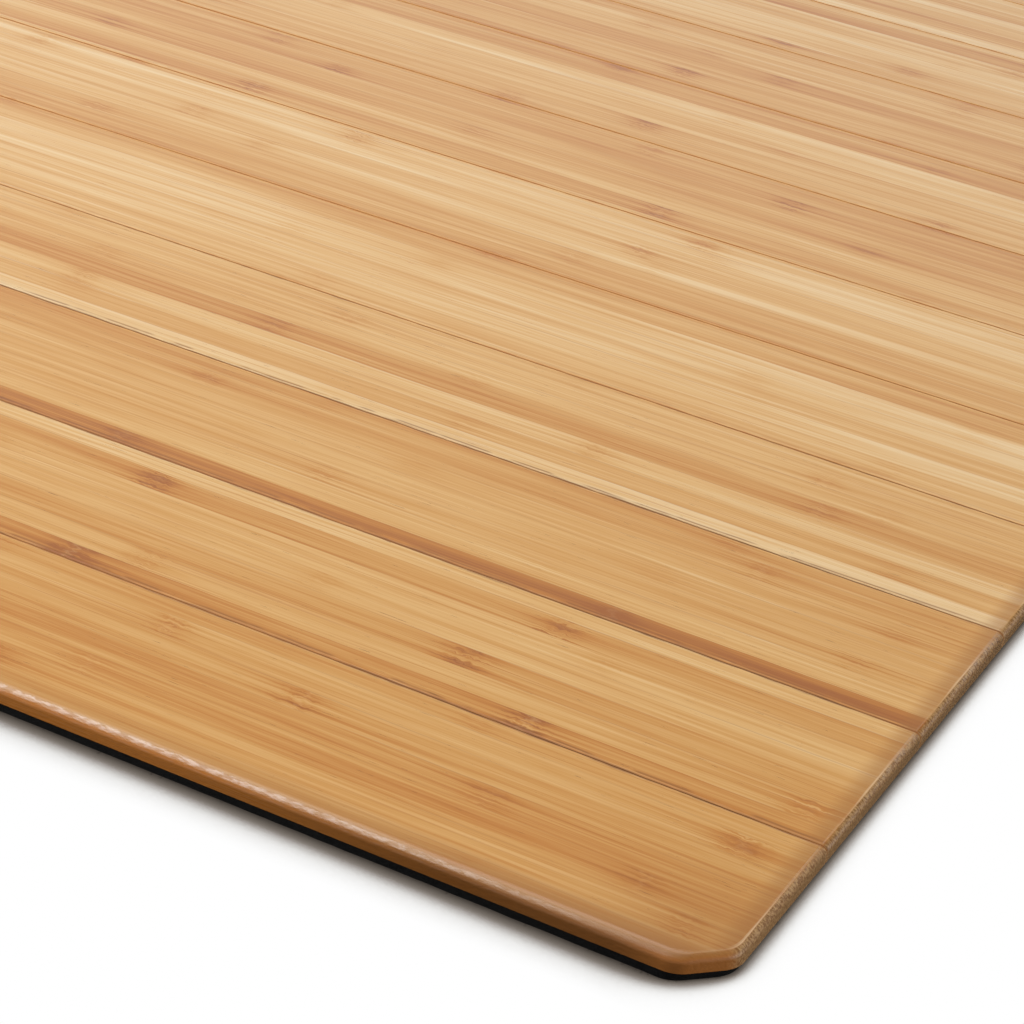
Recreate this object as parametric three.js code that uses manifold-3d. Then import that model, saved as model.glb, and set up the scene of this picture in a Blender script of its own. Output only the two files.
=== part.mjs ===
// Roll-up chair mat: flat bamboo slats laid side by side and glued to a felt backing.
//
// Millimetres, +Z up. X runs along the slats, Y across them from the front edge to the back edge.
// The origin is on the floor, under the middle of the mat.
// The slats are cut square, glued to the felt, and then the whole board is routed round its edge,
// so every slat is one bar of stock cut back by the same routed outline.

import * as THREE from 'three';
import { mergeVertices } from 'three/addons/utils/BufferGeometryUtils.js';
import Module from 'manifold-3d';

// Driving dimensions
const SLAT_COUNT = 18;
const SLAT_PITCH = 50.8;
const MAT_LENGTH = 1219.2;
const FELT_THICKNESS = 1.7;
const GLUE_LINE = 0.2;
const SLAT_THICKNESS = 3.6;

const SEAM_GAP = 0.3;
const ARRIS_EASE = 0.45;
const EDGE_ROUND = 1.7;
const EDGE_STEPS = 5;
const CORNER_CUT = 9;
const CORNER_FILLET = 7;
const CORNER_STEPS = 5;
const FELT_INSET = 0.4;
const STOCK_ALLOWANCE = 3;

// Worked out from the driving dimensions
const MAT_DEPTH = SLAT_COUNT * SLAT_PITCH;
const SLAT_BOTTOM = FELT_THICKNESS + GLUE_LINE;
const MAT_TOP = SLAT_BOTTOM + SLAT_THICKNESS;

const wasm = await Module();
wasm.setup();

// A closed three.js geometry as a solid that can be joined and cut.
function solidOf(geometry) {
  const bare = geometry.clone();
  bare.deleteAttribute('normal');
  bare.deleteAttribute('uv');
  const merged = mergeVertices(bare);
  return new wasm.Manifold(new wasm.Mesh({
    numProp: 3,
    vertProperties: new Float32Array(merged.attributes.position.array),
    triVerts: new Uint32Array(merged.index.array),
  }));
}

// A solid as a three.js geometry.
function geometryOf(solid) {
  const mesh = solid.getMesh();
  const geometry = new THREE.BufferGeometry();
  geometry.setAttribute('position', new THREE.BufferAttribute(mesh.vertProperties, 3));
  geometry.setIndex(new THREE.BufferAttribute(mesh.triVerts, 1));
  geometry.computeVertexNormals();
  return geometry;
}

// The mat's plan outline, moved in by an inset: a rectangle whose corners are cut off at
// 45 degrees, with a fillet at both ends of each cut.
function matOutline(inset) {
  const x = MAT_LENGTH / 2 - inset;
  const y = MAT_DEPTH / 2 - inset;
  const cut = CORNER_CUT - inset * (2 - Math.SQRT2);
  const corners = [
    [x, cut - y], [x, y - cut],
    [x - cut, y], [cut - x, y],
    [-x, y - cut], [-x, cut - y],
    [cut - x, -y], [x - cut, -y],
  ].map(([u, v]) => new THREE.Vector2(u, v));

  const setback = CORNER_FILLET * Math.tan(Math.PI / 8);
  const outline = new THREE.Shape();
  corners.forEach((corner, i) => {
    const before = corners.at(i - 1);
    const after = corners[(i + 1) % corners.length];
    const start = before.clone().sub(corner).setLength(setback).add(corner);
    const end = after.clone().sub(corner).setLength(setback).add(corner);
    if (i === 0) outline.moveTo(start.x, start.y);
    else outline.lineTo(start.x, start.y);
    outline.quadraticCurveTo(corner.x, corner.y, end.x, end.y);
  });
  outline.closePath();
  return outline;
}

// The board after its edge is routed: straight sides below, rounded over into the top face.
// It reaches below the slats, whose stock sets the lower face.
function routedBoard() {
  const geometry = new THREE.ExtrudeGeometry(matOutline(0), {
    depth: SLAT_THICKNESS,
    bevelThickness: EDGE_ROUND,
    bevelSize: EDGE_ROUND,
    bevelOffset: -EDGE_ROUND,
    bevelSegments: EDGE_STEPS,
    curveSegments: CORNER_STEPS,
  });
  geometry.translate(0, 0, MAT_TOP - EDGE_ROUND - SLAT_THICKNESS);
  return solidOf(geometry);
}

function feltSheet() {
  const geometry = new THREE.ExtrudeGeometry(matOutline(FELT_INSET), {
    depth: FELT_THICKNESS,
    bevelEnabled: false,
    curveSegments: CORNER_STEPS,
  });
  return solidOf(geometry);
}

// A cross-section in the YZ plane made into a bar along X, longer than the mat.
function barAlongX(outline) {
  const length = MAT_LENGTH + 2 * STOCK_ALLOWANCE;
  const geometry = new THREE.ExtrudeGeometry(outline, { depth: length, bevelEnabled: false });
  const alongX = new THREE.Matrix4().makeBasis(
    new THREE.Vector3(0, 1, 0),
    new THREE.Vector3(0, 0, 1),
    new THREE.Vector3(1, 0, 0),
  );
  geometry.applyMatrix4(alongX);
  geometry.translate(-length / 2, 0, 0);
  return solidOf(geometry);
}

// Where slat or strip i lies across the mat, from its front face to its back face. A first or
// last one reaches past the mat's edge, where the outline cuts it.
function spanOf(i) {
  const seamBefore = i * SLAT_PITCH - MAT_DEPTH / 2;
  const isFirst = i === 0;
  const isLast = i === SLAT_COUNT - 1;
  return {
    front: seamBefore + (isFirst ? -STOCK_ALLOWANCE : SEAM_GAP / 2),
    back: seamBefore + SLAT_PITCH + (isLast ? STOCK_ALLOWANCE : -SEAM_GAP / 2),
  };
}

// Bamboo stock with both upper arrises eased, which leaves a shallow V along each seam.
function slatStock(i) {
  const { front, back } = spanOf(i);
  const shoulder = MAT_TOP - ARRIS_EASE;
  const section = new THREE.Shape();
  section.moveTo(front, SLAT_BOTTOM);
  section.lineTo(back, SLAT_BOTTOM);
  section.lineTo(back, shoulder);
  section.lineTo(back - ARRIS_EASE, MAT_TOP);
  section.lineTo(front + ARRIS_EASE, MAT_TOP);
  section.lineTo(front, shoulder);
  section.closePath();
  return barAlongX(section);
}

function stripStock(i) {
  const { front, back } = spanOf(i);
  const section = new THREE.Shape();
  section.moveTo(front, -1);
  section.lineTo(back, -1);
  section.lineTo(back, FELT_THICKNESS + 1);
  section.lineTo(front, FELT_THICKNESS + 1);
  section.closePath();
  return barAlongX(section);
}

function bambooMaterial() {
  return new THREE.MeshStandardMaterial({ color: 0xc89858, roughness: 0.38, metalness: 0 });
}

function feltMaterial() {
  return new THREE.MeshStandardMaterial({ color: 0x16161a, roughness: 0.95, metalness: 0 });
}

function addPart(group, name, solid, material) {
  const mesh = new THREE.Mesh(geometryOf(solid), material);
  mesh.name = name;
  group.add(mesh);
}

const board = routedBoard();
const sheet = feltSheet();
const mat = new THREE.Group();
for (let i = 0; i < SLAT_COUNT; i += 1) {
  const number = String(i + 1).padStart(2, '0');
  addPart(mat, `bamboo_slat_${number}`, slatStock(i).intersect(board), bambooMaterial());
  addPart(mat, `felt_strip_${number}`, stripStock(i).intersect(sheet), feltMaterial());
}

export default mat;
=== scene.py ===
import math
import random
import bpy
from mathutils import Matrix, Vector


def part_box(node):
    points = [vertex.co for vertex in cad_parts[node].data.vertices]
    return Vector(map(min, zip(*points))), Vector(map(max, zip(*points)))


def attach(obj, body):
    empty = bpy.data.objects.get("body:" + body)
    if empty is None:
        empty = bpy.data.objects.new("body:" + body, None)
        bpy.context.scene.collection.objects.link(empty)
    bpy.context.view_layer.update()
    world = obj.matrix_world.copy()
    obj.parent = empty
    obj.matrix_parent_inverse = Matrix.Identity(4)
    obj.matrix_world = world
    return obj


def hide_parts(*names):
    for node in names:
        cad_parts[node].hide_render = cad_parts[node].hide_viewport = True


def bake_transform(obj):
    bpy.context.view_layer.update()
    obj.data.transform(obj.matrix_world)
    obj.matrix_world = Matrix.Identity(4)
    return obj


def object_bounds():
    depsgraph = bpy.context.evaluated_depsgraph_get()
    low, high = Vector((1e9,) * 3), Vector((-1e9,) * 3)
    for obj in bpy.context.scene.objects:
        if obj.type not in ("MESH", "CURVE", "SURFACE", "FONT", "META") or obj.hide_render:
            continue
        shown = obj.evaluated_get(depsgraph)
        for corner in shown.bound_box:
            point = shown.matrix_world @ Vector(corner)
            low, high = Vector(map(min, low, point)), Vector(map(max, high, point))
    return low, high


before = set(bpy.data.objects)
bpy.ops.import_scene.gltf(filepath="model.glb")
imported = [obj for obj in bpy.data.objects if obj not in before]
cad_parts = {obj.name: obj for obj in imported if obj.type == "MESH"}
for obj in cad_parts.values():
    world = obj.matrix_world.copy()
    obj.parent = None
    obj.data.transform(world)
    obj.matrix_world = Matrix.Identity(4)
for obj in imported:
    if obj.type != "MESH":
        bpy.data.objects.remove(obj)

from types import SimpleNamespace

import bmesh
import bpy
from mathutils import Matrix, Vector, noise

MM = 0.001

# Sizes that the frame doesn't say, in metres, and how many steps a round takes. The top's edge is rounded
# over: SIDE_ROUND wide at the front and back, END_ROUND wide at the ends, and ROUND_DEPTH deep everywhere.
SIDE_ROUND = 2.8 * MM
END_ROUND = 1.7 * MM
ROUND_DEPTH = 1.6 * MM
EDGE_STEPS = 14
CORNER_CUT = 9 * MM
CORNER_FILLET = 7 * MM
CORNER_STEPS = 12
SEAM_GAP = 0.06 * MM
ARRIS_EASE = 0.2 * MM

# Points closer than this, in metres, are at the same place
TOUCHING = 1e-7

low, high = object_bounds()
SLAT_COUNT = sum(name.startswith("bamboo_slat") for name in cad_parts)
MAT_LENGTH = high.x - low.x
MAT_DEPTH = high.y - low.y
SLAT_PITCH = MAT_DEPTH / SLAT_COUNT
SLAT_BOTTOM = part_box("bamboo_slat_01")[0][2]
MAT_TOP = high.z


# ---------------------------------------------------------------- shape

def mat_outline(ends, sides):
    """The mat's plan outline, moved in at its ends and sides: a rectangle with clipped, filleted corners."""
    x = MAT_LENGTH / 2 - ends
    y = MAT_DEPTH / 2 - sides
    cut = CORNER_CUT - (ends + sides) * (1 - math.sqrt(0.5))
    corners = [
        (x, cut - y), (x, y - cut), (x - cut, y), (cut - x, y),
        (-x, y - cut), (-x, cut - y), (cut - x, -y), (x - cut, -y),
    ]
    corners = [Vector(c) for c in corners]
    setback = CORNER_FILLET * math.tan(math.pi / 8)
    points = []
    for i, corner in enumerate(corners):
        after = corners[(i + 1) % len(corners)]
        start = corner + (corners[i - 1] - corner).normalized() * setback
        end = corner + (after - corner).normalized() * setback
        for k in range(CORNER_STEPS + 1):
            t = k / CORNER_STEPS
            points.append(start * (1 - t) ** 2 + corner * 2 * t * (1 - t) + end * t * t)
    return points


def loft(rings):
    """A closed shell through rings of points, each ring one level of the shape."""
    bm = bmesh.new()
    levels = [[bm.verts.new(p) for p in ring] for ring in rings]
    count = len(levels[0])
    for lower, upper in zip(levels, levels[1:]):
        for i in range(count):
            j = (i + 1) % count
            bm.faces.new((lower[i], lower[j], upper[j], upper[i]))
    bm.faces.new(reversed(levels[0]))
    bm.faces.new(levels[-1])
    return bm


def routed_board():
    """The whole board with its edge rounded over, from the slats' lower face to their top."""
    rings = [[(p.x, p.y, SLAT_BOTTOM) for p in mat_outline(0, 0)]]
    for step in range(EDGE_STEPS + 1):
        angle = math.pi / 2 * step / EDGE_STEPS
        inset = 1 - math.cos(angle)
        z = MAT_TOP - ROUND_DEPTH * (1 - math.sin(angle))
        rings.append([(p.x, p.y, z) for p in mat_outline(END_ROUND * inset, SIDE_ROUND * inset)])
    return loft(rings)


def cut_across(bm, y, keep_back):
    """Cuts a solid across the mat's depth at y, keeps the part behind or before that, and closes the cut."""
    geometry = bm.verts[:] + bm.edges[:] + bm.faces[:]
    cut = bmesh.ops.bisect_plane(
        bm, geom=geometry, plane_co=(0, y, 0), plane_no=(0, 1, 0),
        clear_inner=keep_back, clear_outer=not keep_back,
    )
    edges = [e for e in cut["geom_cut"] if isinstance(e, bmesh.types.BMEdge)]
    bmesh.ops.contextual_create(bm, geom=edges)


def slat_span(i):
    """The seams before and after slat i, from front to back."""
    front = i * SLAT_PITCH - MAT_DEPTH / 2
    return front, front + SLAT_PITCH


def slat_mesh(board, i):
    """The board's part between two seams, with its upper and upright edges along them eased."""
    front, back = slat_span(i)
    bm = board.copy()
    seams = []
    if i > 0:
        seams.append(front + SEAM_GAP / 2)
        cut_across(bm, seams[-1], keep_back=True)
    if i < SLAT_COUNT - 1:
        seams.append(back - SEAM_GAP / 2)
        cut_across(bm, seams[-1], keep_back=False)
    arrises = [
        e for e in bm.edges
        if any(all(abs(v.co.y - y) < TOUCHING for v in e.verts) for y in seams)
        and not all(v.co.z < SLAT_BOTTOM + TOUCHING for v in e.verts)
    ]
    bmesh.ops.bevel(
        bm, geom=arrises, offset=ARRIS_EASE, offset_type="OFFSET", segments=2,
        profile=0.5, affect="EDGES", clamp_overlap=True,
    )
    bmesh.ops.recalc_face_normals(bm, faces=bm.faces)
    return bm


# A face whose normal has a part this long along an axis is square to that axis
SQUARE_ON = 0.99999


def new_object(name, bm, material):
    mesh = bpy.data.meshes.new(name)
    bm.to_mesh(mesh)
    bm.free()
    mesh.materials.append(material)
    piece = bpy.data.objects.new(name, mesh)
    bpy.context.scene.collection.objects.link(piece)
    return piece


def smooth(piece, degrees):
    """Smooth shading, except on faces square to an axis and over edges sharper than the angle."""
    piece.data.set_sharp_from_angle(angle=math.radians(degrees))
    for polygon in piece.data.polygons:
        polygon.use_smooth = max(abs(n) for n in polygon.normal) < SQUARE_ON


# ---------------------------------------------------------------- shader nodes

def rgb(red, green, blue):
    """An sRGB colour of 0 to 255 as Blender's linear one."""
    def linear(level):
        share = level / 255
        return share / 12.92 if share <= 0.04045 else ((share + 0.055) / 1.055) ** 2.4
    return (linear(red), linear(green), linear(blue), 1)


def grey(brightness):
    return (brightness, brightness, brightness, 1)


class Value:
    """A number that a shader works out at each point. Each sum on it adds the node that does the sum."""

    def __init__(self, graph, socket):
        self.graph = graph
        self.socket = socket

    def __add__(self, other):
        return self.graph.math("ADD", self, other)

    def __radd__(self, other):
        return self.graph.math("ADD", other, self)

    def __sub__(self, other):
        return self.graph.math("SUBTRACT", self, other)

    def __rsub__(self, other):
        return self.graph.math("SUBTRACT", other, self)

    def __mul__(self, other):
        return self.graph.math("MULTIPLY", self, other)

    def __rmul__(self, other):
        return self.graph.math("MULTIPLY", other, self)

    def __truediv__(self, other):
        return self.graph.math("DIVIDE", self, other)

    def __abs__(self):
        return self.graph.math("ABSOLUTE", self)

    def floor(self):
        return self.graph.math("FLOOR", self)

    def fraction(self):
        return self.graph.math("FRACT", self)

    def swing(self, amount):
        """A value of 0 to 1 turned into one of -amount / 2 to amount / 2."""
        return (self - 0.5) * amount

    def bell(self, width):
        """1 where the value is 0, falling away over the width to both sides."""
        scaled = self / width
        return self.graph.math("EXPONENT", scaled * scaled * -1)

    def step(self, start, end, lowest=0.0, highest=1.0):
        """lowest before start and highest after end, with a smooth ramp between them."""
        made = self.graph.node(
            "ShaderNodeMapRange", self, start, end, lowest, highest, interpolation_type="SMOOTHSTEP",
        )
        return Value(self.graph, made.outputs[0])


class Graph:
    """The nodes of a material or a world, made by short calls. Inputs are values, sockets or constants."""

    def __init__(self, owner, output):
        owner.use_nodes = True
        self.owner = owner
        self.tree = owner.node_tree
        self.tree.nodes.clear()
        self.output = self.node(output)

    def node(self, kind, *inputs, **settings):
        """A new node with its settings and its first inputs."""
        made = self.tree.nodes.new(kind)
        for key, setting in settings.items():
            setattr(made, key, setting)
        for socket, given in zip(made.inputs, inputs):
            self.put(socket, given)
        return made

    def put(self, socket, given):
        if isinstance(given, Value):
            given = given.socket
        if isinstance(given, bpy.types.NodeSocket):
            self.tree.links.new(given, socket)
        else:
            socket.default_value = given

    def math(self, operation, *inputs):
        return Value(self, self.node("ShaderNodeMath", *inputs, operation=operation).outputs[0])

    def vector(self, x, y, z):
        return self.node("ShaderNodeCombineXYZ", x, y, z).outputs[0]

    def parts(self, vector):
        return [Value(self, socket) for socket in self.node("ShaderNodeSeparateXYZ", vector).outputs]

    def object_mm(self):
        """The piece's own coordinates in millimetres."""
        coordinates = self.node("ShaderNodeTexCoord").outputs["Object"]
        scaled = self.node("ShaderNodeVectorMath", coordinates, operation="SCALE")
        scaled.inputs["Scale"].default_value = 1 / MM
        return self.parts(scaled.outputs[0])

    def normal(self):
        return self.parts(self.node("ShaderNodeTexCoord").outputs["Normal"])

    def noise(self, x, y, z, detail, roughness, scale=1.0, distortion=0.0):
        made = self.node("ShaderNodeTexNoise", self.vector(x, y, z), noise_dimensions="3D")
        made.inputs["Scale"].default_value = scale
        made.inputs["Detail"].default_value = detail
        made.inputs["Roughness"].default_value = roughness
        made.inputs["Distortion"].default_value = distortion
        return Value(self, made.outputs["Fac"])

    def dice(self, seed):
        """Three steady random numbers for a number."""
        made = self.node("ShaderNodeTexWhiteNoise", noise_dimensions="1D")
        self.put(made.inputs["W"], seed)
        parts = self.node("ShaderNodeSeparateColor", made.outputs["Color"])
        return [Value(self, socket) for socket in parts.outputs]

    def ramp(self, place, stops, interpolation="LINEAR"):
        """The colour at a place among stops, each a position and a colour."""
        made = self.node("ShaderNodeValToRGB", place)
        made.color_ramp.interpolation = interpolation
        elements = made.color_ramp.elements
        while len(elements) < len(stops):
            elements.new(0.5)
        for element, (position, color) in zip(elements, stops):
            element.position = position
            element.color = color
        return made.outputs[0]

    def choose(self, index, choices, otherwise):
        """The choice that the index names, or otherwise past the last one."""
        stops = [(i / len(choices), grey(choice)) for i, choice in enumerate(choices)]
        place = (index + 0.5) / len(choices)
        chosen = Value(self, self.ramp(place, stops, "CONSTANT"))
        is_past = self.math("GREATER_THAN", place, 1)
        return chosen + is_past * (otherwise - chosen)

    def mix(self, share, a, b):
        """The colour a with a share of the colour b."""
        made = self.node("ShaderNodeMix", share, data_type="RGBA")
        self.put(made.inputs[6], a)
        self.put(made.inputs[7], b)
        return made.outputs[2]

    def bump(self, height, distance, strength):
        made = self.node("ShaderNodeBump")
        self.put(made.inputs["Height"], height)
        made.inputs["Distance"].default_value = distance
        made.inputs["Strength"].default_value = strength
        return made.outputs[0]

    def principled(self, **inputs):
        shader = self.node("ShaderNodeBsdfPrincipled")
        for name, given in inputs.items():
            self.put(shader.inputs[name.replace("_", " ")], given)
        return self.surface(shader)

    def surface(self, shader):
        """Makes a shader the material's or the world's own, and gives that back."""
        self.tree.links.new(shader.outputs[0], self.output.inputs["Surface"])
        return self.owner


# ---------------------------------------------------------------- bamboo

# The strips of the front four slats, each slat from front to back. A strip has a tone from 0, dark, to 1,
# pale, the place of its first knuckle in millimetres from the right-hand end, and its knuckles' strength.
FRONT_STRIPS = [
    [(0.40, 57, 0.3), (0.46, 12, 0.6), (0.36, 150, 0.4), (0.38, 190, 0.5), (0.46, 109, 0.7), (0.50, 14, 0.8),
     (0.46, 76, 0.4)],
    [(0.32, 68, 1.0), (0.54, 8, 0.7), (0.44, 90, 1.0), (0.60, 130, 0.4), (0.64, 66, 0.3), (0.42, 79, 1.0),
     (0.70, 160, 0.2)],
    [(0.20, 73, 0.6), (0.66, 95, 0.2), (0.60, 22, 0.4), (0.66, 180, 0.2), (0.60, 140, 0.3), (0.52, 200, 0.5),
     (0.50, 170, 0.3)],
    [(0.84, 60, 0.2), (0.56, 30, 0.3), (0.72, 110, 0.7), (0.40, 55, 0.6), (0.58, 150, 0.4), (0.64, 60, 0.5),
     (0.60, 130, 0.3)],
]
STRIPS_PER_SLAT = 7

# Millimetres, as everything in the bamboo's shader: the slats, their strips, and the front slats' first
# strips, which their sides cut narrower
PITCH = SLAT_PITCH / MM
HALF_LENGTH = MAT_LENGTH / 2 / MM
HALF_DEPTH = MAT_DEPTH / 2 / MM
STRIP_WIDTH = 7.75
FRONT_FIRST_WIDTH = 6.2

# A strip's knuckles are a gap apart, to which a random share of the extra gap is added. The first knuckle is
# within the range, measured from the right-hand end.
KNUCKLE_GAP = 101
KNUCKLE_GAP_EXTRA = 60
FIRST_KNUCKLE_RANGE = 250

STRIP_TONES = [
    (0.0, rgb(146, 78, 20)),
    (0.25, rgb(178, 112, 40)),
    (0.5, rgb(194, 141, 73)),
    (0.75, rgb(207, 163, 102)),
    (1.0, rgb(218, 187, 141)),
]
DARK_FIBRE = rgb(164, 94, 32)
KNUCKLE_CREAM = rgb(226, 186, 126)
GLUE_LINE = rgb(140, 86, 44)
LOOSE_FIBRE = rgb(226, 192, 138)
SPLIT = rgb(176, 110, 48)
FRONT_SPLIT = rgb(124, 68, 24)
SEAM = rgb(168, 98, 36)
FRONT_SEAM = rgb(104, 56, 20)
# Painted shade: the top darker towards the mat's ends and sides, and most near the corners
EDGE_SHADE = rgb(136, 82, 30)
ROUTED = rgb(132, 96, 54)
STEEP = rgb(174, 106, 44)
# Painted shade on the steep front and back faces close to the mat's ends
STEEP_IN_SHADE = rgb(84, 46, 12)
END_PORE = rgb(110, 76, 40)
END_WOOD = rgb(176, 142, 98)
# A pale line along the top arris, strongest where it crosses the grain
PALE_ARRIS = rgb(224, 196, 158)


def place_on_mat(graph):
    """Where a point is on the mat and on its slat, and how far it faces up, to the end or to the side."""
    x, y, z = graph.object_mm()
    to_end, to_side, up = graph.normal()
    end_on = abs(to_end)
    across = (y + HALF_DEPTH) / PITCH
    slat = across.floor()
    from_seam = across.fraction() * PITCH
    from_end = HALF_LENGTH - abs(x)
    from_side = HALF_DEPTH - abs(y)
    return SimpleNamespace(
        x=x, y=y, z=z, up=up, slat=slat,
        is_front=graph.math("LESS_THAN", slat, len(FRONT_STRIPS) - 0.5),
        from_seam=from_seam,
        to_seam=graph.math("MINIMUM", from_seam, PITCH - from_seam),
        from_end=from_end,
        from_side=from_side,
        from_corner=graph.math("SQRT", from_end * from_end + from_side * from_side),
        # 0 on the mat's own front and back edges, which have no seam, and 1 everywhere else
        inside=from_side.step(2.5, 4.5),
        # 0 where the routed edge runs along the grain and 1 where it cuts across it
        across_grain=end_on / (end_on + abs(to_side) + 0.001),
        rounded=up.step(0.998, 0.95),
        steep=up.step(0.995, 0.6),
        # a slow wave along the slat, which its strips' sides and the split beside its seam follow
        ripple=graph.noise(x / 45, slat, 3.7, detail=3.0, roughness=0.6),
    )


def grain(graph, at, length, thickness, layer, detail=3.0, roughness=0.6):
    """Noise drawn out along the slats, with spots of about that length and thickness."""
    return graph.noise(at.x / length, at.y / thickness, layer, detail, roughness)


def strip_at(graph, at):
    """The strip that a point is on: its number, its tone, where the point is across it, and its dice."""
    random_width, slat_tone, _ = graph.dice(at.slat + 31.5)
    random_width = random_width * STRIP_WIDTH
    first_width = random_width + at.is_front * (FRONT_FIRST_WIDTH - random_width)
    lane = (at.from_seam + (STRIP_WIDTH - first_width) + at.ripple.swing(1.3)) / STRIP_WIDTH
    number = at.slat * STRIPS_PER_SLAT + lane.floor()
    tone, shift, spacing = graph.dice(number + 0.5)
    _, strength, kind = graph.dice(number + 400.5)
    tones, knuckles, strengths = zip(*[strip for slat in FRONT_STRIPS for strip in slat])
    first_knuckles = [knuckle / FIRST_KNUCKLE_RANGE for knuckle in knuckles]
    return SimpleNamespace(
        number=number,
        side=lane.fraction(),
        kind=kind,
        tone=graph.choose(number, tones, 0.6 + tone.swing(0.46)) + slat_tone.swing(0.08),
        knuckle_gap=spacing * KNUCKLE_GAP_EXTRA + KNUCKLE_GAP,
        first_knuckle=graph.choose(number, first_knuckles, shift) * FIRST_KNUCKLE_RANGE,
        knuckle_strength=graph.choose(number, strengths, strength),
    )


def knuckle_at(graph, at, strip):
    """How much of a knuckle is at a point: its dark heart, the fan round it and the cream crossing in it."""
    from_right_end = HALF_LENGTH - at.x
    along = (from_right_end - strip.first_knuckle) / strip.knuckle_gap
    offset = ((along + 0.5).fraction() - 0.5) * strip.knuckle_gap
    offset = offset + grain(graph, at, 6, 1.5, strip.number).swing(9)
    crossing = offset + grain(graph, at, 3, 1.3, strip.number, roughness=0.7).swing(9)
    return SimpleNamespace(
        heart=offset.bell(4.6) * strip.knuckle_strength,
        fan=offset.bell(12) * strip.knuckle_strength,
        cream=crossing.bell(0.9) * (strip.kind * strip.knuckle_strength),
    )


def fibres_at(graph, at, strip, knuckle):
    """Four sizes of fibre. They run along the slat, wander a little, and are knotted in a knuckle."""
    wander = grain(graph, at, 120, 14, strip.number, detail=1.0, roughness=0.5)
    knot = grain(graph, at, 3, 2, strip.number, detail=2.0, roughness=0.55)
    across = at.y + wander.swing(2.2) + knot.swing(3.6) * knuckle.heart
    depth = at.z + strip.number * 7.31

    def fibres(length, thickness, detail):
        return graph.noise(at.x / length, across / thickness, depth / thickness, detail, roughness=0.55)

    return SimpleNamespace(
        knot=knot,
        broad=fibres(130, 3.0, 2.0),
        medium=fibres(60, 0.95, 2.0),
        fine=fibres(18, 0.33, 3.0),
        hair=fibres(70, 0.42, 1.0),
    )


def strip_color(graph, at, strip, knuckle, fibre):
    """The bamboo itself: the strip's tone, streaked by its fibres and browned by its knuckles."""
    broad_share = 0.84 - at.is_front * 0.30
    fine_share = 0.24 + at.is_front * 0.10
    streaks = (fibre.broad - 0.5) * broad_share + fibre.medium.swing(0.58) + (fibre.fine - 0.5) * fine_share
    streaks = streaks * (1 + knuckle.fan * 0.5 + knuckle.heart * 0.7)
    color = graph.ramp(strip.tone + streaks - (knuckle.fan * 0.07 + knuckle.heart * 0.18), STRIP_TONES)
    dark_share = 0.26 + at.is_front * 0.12 + knuckle.fan * 0.4
    color = graph.mix(fibre.hair.step(0.62, 0.72) * dark_share, color, DARK_FIBRE)
    return graph.mix(knuckle.cream * 0.2, color, KNUCKLE_CREAM)


def line_color(graph, at, strip, fibre, color):
    """Over a colour, the glue lines between strips, and the torn and split fibres along the slats' seams."""
    from_line = graph.math("MINIMUM", strip.side, 1 - strip.side) * STRIP_WIDTH
    glue = from_line.step(0.35, 0.05) * fibre.medium.step(0.42, 0.62)
    color = graph.mix(glue * 0.32, color, GLUE_LINE)

    torn = grain(graph, at, 11, 0.45, at.slat, detail=4.0, roughness=0.7)
    seam = at.to_seam.step(0.78 + torn.swing(4.6), 0.0) * at.inside
    flecks = grain(graph, at, 7, 0.35, at.slat + 40)
    fuzz = flecks.step(0.58, 0.68) * at.to_seam.step(1.9, 0.5) * at.inside
    dashes = graph.noise(at.x / 16, at.slat, 9.1, detail=2.0, roughness=0.6)
    from_split = at.from_seam - (1.25 + at.ripple.swing(1.6))
    split = from_split.bell(0.32) * dashes.step(0.41, 0.53) * at.inside

    split_color = graph.mix(at.is_front, SPLIT, FRONT_SPLIT)
    seam_color = graph.mix(at.is_front, SEAM, FRONT_SEAM)
    color = graph.mix(fuzz * 0.35, color, LOOSE_FIBRE)
    color = graph.mix(split * (0.4 + at.is_front * 0.35), color, split_color)
    return graph.mix(seam * dashes.step(0.62, 0.44, 0.5, 0.9), color, seam_color)


def edge_color(graph, at, color):
    """Over a colour, what the mat's edge adds. Painted shade darkens the top towards the edge, most near the
    corners, and darkens the steep front and back faces close to the ends. The ends show pores across the
    grain, and a pale line runs along the arris."""
    near_corner = at.from_corner.bell(110)
    # Painted shade: the top darker towards the ends and sides, and most near the corners
    for shade in (
        at.from_end.step(7, 2) * 0.50,
        at.from_side.step(9, 2.5) * (0.16 + near_corner * 0.50),
        at.from_corner.bell(26) * 0.50,
    ):
        color = graph.mix(shade, color, EDGE_SHADE)
    color = graph.mix(at.rounded * at.across_grain.step(0.6, 0.4) * 0.34, color, ROUTED)
    # Painted shade on the steep front and back faces, from a little in from the ends to about 125 mm
    steep_face_shade = at.from_end.step(3, 24) * at.from_end.step(125, 45) * 0.68
    color = graph.mix(at.steep * 0.8, color, graph.mix(steep_face_shade, STEEP, STEEP_IN_SHADE))

    pores = grain(graph, at, 1.2, 0.5, at.z / 0.5, roughness=0.65)
    end_share = at.across_grain.step(0.45, 0.85) * at.up.step(0.985, 0.93) * 0.85
    color = graph.mix(end_share, color, graph.mix(pores.step(0.36, 0.64), END_PORE, END_WOOD))
    # A pale line along the top arris, strongest where it crosses the grain
    arris = (at.up - 0.985).bell(0.02) * at.across_grain.step(0.5, 0.9, 0.12, 0.5)
    return graph.mix(arris, color, PALE_ARRIS)


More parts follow.
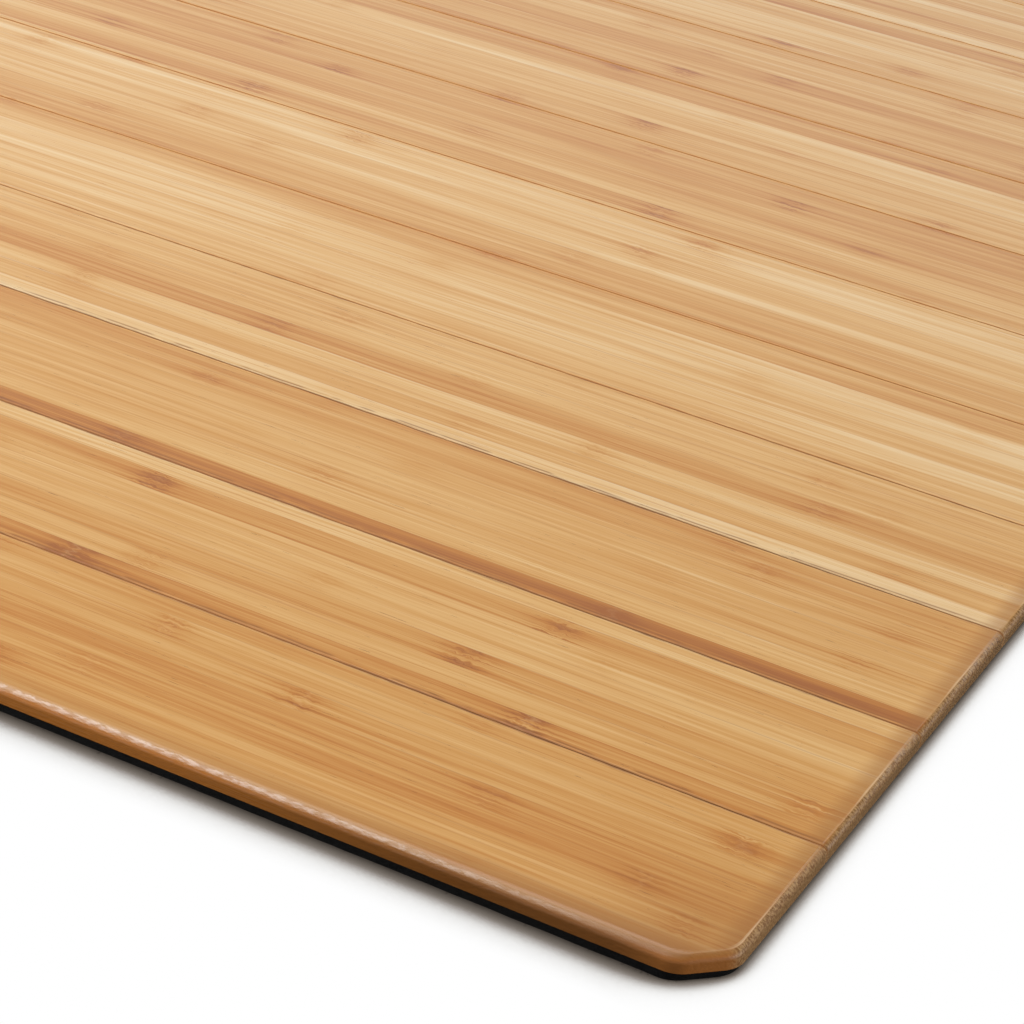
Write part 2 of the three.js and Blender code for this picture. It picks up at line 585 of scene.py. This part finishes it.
def bamboo_material():
    """Side-pressed bamboo: narrow strips on edge, long fibres, and knuckles where the culm had joints. It is
    satin, dull along the seams and worn at the corners, and its lacquer is patchy on the rounded edge."""
    graph = Graph(bpy.data.materials.new("bamboo"), "ShaderNodeOutputMaterial")
    at = place_on_mat(graph)
    strip = strip_at(graph, at)
    knuckle = knuckle_at(graph, at, strip)
    fibre = fibres_at(graph, at, strip, knuckle)
    color = strip_color(graph, at, strip, knuckle, fibre)
    color = line_color(graph, at, strip, fibre, color)
    color = edge_color(graph, at, color)

    mottle = grain(graph, at, 2.2, 0.7, at.z / 0.7)
    relief = (fibre.medium + fibre.fine + knuckle.heart * fibre.knot) * 0.4 + mottle * at.rounded * 5.0
    dull = at.to_seam.step(0.9, 0.4) * at.inside
    worn = at.up.step(0.995, 0.97) * at.from_corner.bell(60)
    patches = at.rounded * mottle.step(0.42, 0.58, -0.3, 0.65)
    return graph.principled(
        Base_Color=color,
        Roughness=0.21 + fibre.fine.swing(0.14) + at.steep * 0.06 + dull * 0.5 + worn * 0.2,
        Specular_IOR_Level=0.36,
        Coat_Weight=(0.3 + patches) * (1 - dull) * (1 - worn),
        Coat_Roughness=0.15,
        Normal=graph.bump(relief, distance=0.05 * MM, strength=0.5),
    )


# ---------------------------------------------------------------- felt

def felt_material():
    """Needle-punched black felt: short crossing fibres."""
    graph = Graph(bpy.data.materials.new("felt"), "ShaderNodeOutputMaterial")
    x, y, z = graph.object_mm()
    tufts = graph.noise(x, y, z, detail=4.0, roughness=0.7, scale=1.6, distortion=2.0)
    hairs = graph.noise(x, y, z, detail=3.0, roughness=0.7, scale=6.0, distortion=3.0)
    color = graph.ramp(tufts * 0.5 + hairs * 0.5, [
        (0.3, rgb(4, 3, 3)),
        (0.55, rgb(9, 8, 7)),
        (0.8, rgb(28, 26, 25)),
    ], "EASE")
    return graph.principled(
        Base_Color=color,
        Roughness=0.95,
        Specular_IOR_Level=0.08,
        Sheen_Weight=0.04,
        Sheen_Roughness=0.6,
        Normal=graph.bump(tufts + hairs * 0.6, distance=0.3 * MM, strength=0.9),
    )


# ---------------------------------------------------------------- the object

def make_slats():
    board = routed_board()
    material = bamboo_material()
    for i in range(SLAT_COUNT):
        number = f"{i + 1:02d}"
        piece = new_object(f"slat_{number}_bamboo", slat_mesh(board, i), material)
        smooth(piece, 35)
        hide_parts(f"bamboo_slat_{number}")
        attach(piece, f"slat_{number}")
    board.free()


# The felt shows at the front and back and is cut short of the slats' ends. Its cut edge wobbles a little
# from step to step. Each panel has rows of points close to its seam, in millimetres from it.
FELT_ENDS = 1.1 * MM
FELT_SIDES = 0.16 * MM
FELT_TOP = SLAT_BOTTOM - 0.02 * MM
FELT_CUT_STEP = 3 * MM
FELT_CUT_WOBBLE = 0.15 * MM
FELT_CUT_SEED = 5
WOBBLES_PER_STEP = 0.7
FELT_ROWS = [-6, -4, -3, -2.5, -2, -1.5, -1, -0.5, 0, 0.5, 1, 1.5, 2, 2.5, 3, 4, 6]
FELT_BEND = 2.5 * MM


def felt_ring(z):
    """One level of the felt's cut edge, a little uneven."""
    noise.seed_set(FELT_CUT_SEED)
    corners = mat_outline(FELT_ENDS, FELT_SIDES)
    ring = []
    for start, end in zip(corners, corners[1:] + corners[:1]):
        steps = max(1, round((end - start).length / FELT_CUT_STEP))
        for k in range(steps):
            point = start.lerp(end, k / steps).to_3d() + Vector((0, 0, z))
            wobble = noise.noise_vector(point / FELT_CUT_STEP * WOBBLES_PER_STEP) * FELT_CUT_WOBBLE
            ring.append((point.x + wobble.x, point.y + wobble.y, z))
    return ring


def make_felt():
    """The backing: a panel from the middle of each slat to the middle of the next, across their seam."""
    material = felt_material()
    sheet = loft([felt_ring(z) for z in (0, FELT_TOP * 0.5, FELT_TOP)])
    for i in range(SLAT_COUNT - 1):
        _, seam = slat_span(i)
        is_first = i == 0
        is_last = i == SLAT_COUNT - 2
        bm = sheet.copy()
        if not is_first:
            cut_across(bm, seam - SLAT_PITCH / 2, keep_back=True)
        if not is_last:
            cut_across(bm, seam + SLAT_PITCH / 2, keep_back=False)
        for row in FELT_ROWS:
            bmesh.ops.bisect_plane(
                bm, geom=bm.verts[:] + bm.edges[:] + bm.faces[:],
                plane_co=(0, seam + row * MM, 0), plane_no=(0, 1, 0),
            )
        bmesh.ops.recalc_face_normals(bm, faces=bm.faces)
        piece = new_object(f"felt_panel_{i + 1:02d}", bm, material)
        strips_below = [i + 1, i + 2] if is_last else [i + 1]
        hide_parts(*[f"felt_strip_{n:02d}" for n in strips_below])
        seam - FELT_BEND
        seam + FELT_BEND
        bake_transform(piece)
    sheet.free()


FIBRE_RADIUS = 0.035 * MM
FIBRE_LENGTHS = (0.4 * MM, 1.2 * MM)
FIBRES_PER_METRE = 1400
FIBRE_SIDES = 3
FIBRE_SEED = 7


def fibre(chance, root, outward):
    """A loose fibre, as points and faces: three-sided, tapering and curling, from a root inside the felt."""
    along = Vector((-outward.y, outward.x, 0))
    length = chance.uniform(*FIBRE_LENGTHS)
    lean = along * chance.uniform(-1.2, 1.2) + Vector((0, 0, chance.uniform(-0.5, 0.7)))
    curl = along * chance.uniform(-0.6, 0.6) + Vector((0, 0, chance.uniform(-0.3, 0.3)))
    points = []
    for t in (-0.2, 0.35, 0.7, 1.0):
        radius = FIBRE_RADIUS * (1.1 - 0.7 * max(t, 0))
        centre = root + (outward + lean * 0.5 + curl * t).normalized() * length * t
        centre.z = max(centre.z, 2 * FIBRE_RADIUS)
        for k in range(FIBRE_SIDES):
            turn = math.tau * k / FIBRE_SIDES
            up = Vector((0, 0, radius * math.sin(turn)))
            points.append(centre + along * radius * math.cos(turn) + up)
    last = len(points) - FIBRE_SIDES
    faces = [tuple(reversed(range(FIBRE_SIDES))), tuple(range(last, len(points)))]
    for ring in range(0, last, FIBRE_SIDES):
        for k in range(FIBRE_SIDES):
            j = (k + 1) % FIBRE_SIDES
            faces.append((ring + k, ring + j, ring + FIBRE_SIDES + j, ring + FIBRE_SIDES + k))
    return points, faces


def make_fibres():
    """Loose fibres along the felt's cut edge, in one piece for each slat."""
    chance = random.Random(FIBRE_SEED)
    material = felt_material()
    outline = mat_outline(FELT_ENDS, FELT_SIDES)
    made = [([], []) for _ in range(SLAT_COUNT)]
    for start, end in zip(outline, outline[1:] + outline[:1]):
        side = end - start
        outward = Vector((side.y, -side.x, 0)).normalized()
        for _ in range(round(side.length * FIBRES_PER_METRE)):
            root = (start + side * chance.random()).to_3d()
            root.z = chance.uniform(0.1, 0.95) * FELT_TOP
            i = min(SLAT_COUNT - 1, max(0, int((root.y + MAT_DEPTH / 2) / SLAT_PITCH)))
            points, faces = fibre(chance, root, outward)
            first = len(made[i][0])
            made[i][0].extend(points)
            made[i][1].extend(tuple(first + v for v in face) for face in faces)
    for i, (points, faces) in enumerate(made):
        mesh = bpy.data.meshes.new(f"felt_fibres_{i + 1:02d}")
        mesh.from_pydata(points, [], faces)
        mesh.materials.append(material)
        piece = bpy.data.objects.new(mesh.name, mesh)
        bpy.context.scene.collection.objects.link(piece)
        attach(piece, f"slat_{i + 1:02d}")


# ---------------------------------------------------------------- stage

# Where the camera is from the top of the mat's right front corner, before that is cut, its heading to the
# left of +Y, its dip below the horizon and its roll in degrees, and its lens and sensor in millimetres
CORNER_TO_CAMERA = Vector((148, -453.2, 345.5)) * MM
CAMERA_HEADING = 23.94
CAMERA_DIP = 28.39
CAMERA_ROLL = 7.55
CAMERA_LENS = 113.1
CAMERA_SENSOR = 36


def make_camera():
    data = bpy.data.cameras.new("camera")
    data.lens = CAMERA_LENS
    data.sensor_width = CAMERA_SENSOR
    data.clip_start = 0.01
    data.clip_end = 100
    camera = bpy.data.objects.new("camera", data)
    bpy.context.scene.collection.objects.link(camera)
    corner = Vector((high.x, low.y, high.z))
    turn = Matrix.Rotation(math.radians(CAMERA_HEADING), 4, "Z")
    dip = Matrix.Rotation(math.radians(90 - CAMERA_DIP), 4, "X")
    roll = Matrix.Rotation(math.radians(CAMERA_ROLL), 4, "Z")
    camera.matrix_world = Matrix.Translation(corner + CORNER_TO_CAMERA) @ turn @ dip @ roll
    bpy.context.scene.camera = camera


# The floor's shading leans towards the mat's right-hand end, where its shadow is light. The floor reaches
# as many metres to each side of the origin as its size says.
FLOOR_LEAN = math.radians(30)
SHADOW_REACH = 12 * MM
FLOOR_SIZE = 12


def floor_material():
    """A white floor that shows only the shadow of what is close to it, and never hides what is below it."""
    graph = Graph(bpy.data.materials.new("floor"), "ShaderNodeOutputMaterial")
    openness = graph.node("ShaderNodeAmbientOcclusion", samples=24)
    openness.inputs["Distance"].default_value = SHADOW_REACH
    graph.put(openness.inputs["Normal"], graph.vector(math.sin(FLOOR_LEAN), 0, math.cos(FLOOR_LEAN)))
    color = graph.ramp(openness.outputs["AO"], [
        (0.50, rgb(60, 54, 49)),
        (0.63, rgb(90, 83, 76)),
        (0.74, rgb(118, 110, 102)),
        (0.82, rgb(155, 148, 142)),
        (0.91, rgb(236, 235, 233)),
        (0.97, grey(1)),
    ])
    return graph.surface(graph.node("ShaderNodeBsdfTransparent", color))


def make_floor():
    bm = bmesh.new()
    corners = [(-1, -1, 0), (1, -1, 0), (1, 1, 0), (-1, 1, 0)]
    bm.faces.new([bm.verts.new(Vector(corner) * FLOOR_SIZE) for corner in corners])
    new_object("floor", bm, floor_material())


# Softboxes that face a point near the mat's right front corner: heading from +Y towards -X and height in
# degrees, distance, width and height in metres, and how bright each looks, where 1 is white paper
LIT_POINT = Vector((high.x - 0.15, low.y + 0.1, 0))
LIGHTS = [
    ("overhead", 46, 68, 1.5, 1.2, 1.2, 1.88),
    ("left", 95, 55, 2.0, 1.7, 1.7, 3.76),
    ("side", -80, 12, 2.4, 1.4, 1.0, 6.2),
    ("low left", 125, 8, 0.75, 0.30, 0.25, 14.0),
]
# The studio's own glow, as pairs of the sine of the angle above the horizon and the brightness there: a dim
# floor, a bright band round the walls and a dim ceiling
STUDIO_GLOW = [(-0.02, 0.07), (0.0, 0.30), (0.24, 0.46), (0.36, 0.86), (0.50, 0.24), (0.60, 0.09)]


def make_light(name, heading, height, distance, across, tall, glow):
    """A softbox that faces the lit point. Its energy is what makes it look as bright as asked."""
    data = bpy.data.lights.new(name, "AREA")
    data.shape = "RECTANGLE"
    data.size = across
    data.size_y = tall
    data.energy = glow * math.pi * across * tall
    light = bpy.data.objects.new(name, data)
    bpy.context.scene.collection.objects.link(light)
    turn = math.radians(heading)
    rise = math.radians(height)
    away = Vector((-math.sin(turn) * math.cos(rise), math.cos(turn) * math.cos(rise), math.sin(rise)))
    light.location = LIT_POINT + away * distance
    light.rotation_euler = away.to_track_quat("Z", "Y").to_euler()


def make_studio():
    """A world that lights the mat with the studio's glow, and that the camera sees as plain white."""
    world = bpy.data.worlds.new("studio")
    graph = Graph(world, "ShaderNodeOutputWorld")
    direction = graph.parts(graph.node("ShaderNodeTexCoord").outputs["Generated"])
    stops = [((1 + sine) / 2, grey(brightness)) for sine, brightness in STUDIO_GLOW]
    glow = graph.ramp(direction[2] * 0.5 + 0.5, stops)
    is_seen = graph.node("ShaderNodeLightPath").outputs["Is Camera Ray"]
    graph.surface(graph.node("ShaderNodeBackground", graph.mix(is_seen, glow, grey(1))))
    bpy.context.scene.world = world
    bpy.context.scene.view_settings.view_transform = "Standard"


make_camera()
make_slats()
make_felt()
make_fibres()
make_floor()
for light in LIGHTS:
    make_light(*light)
make_studio()
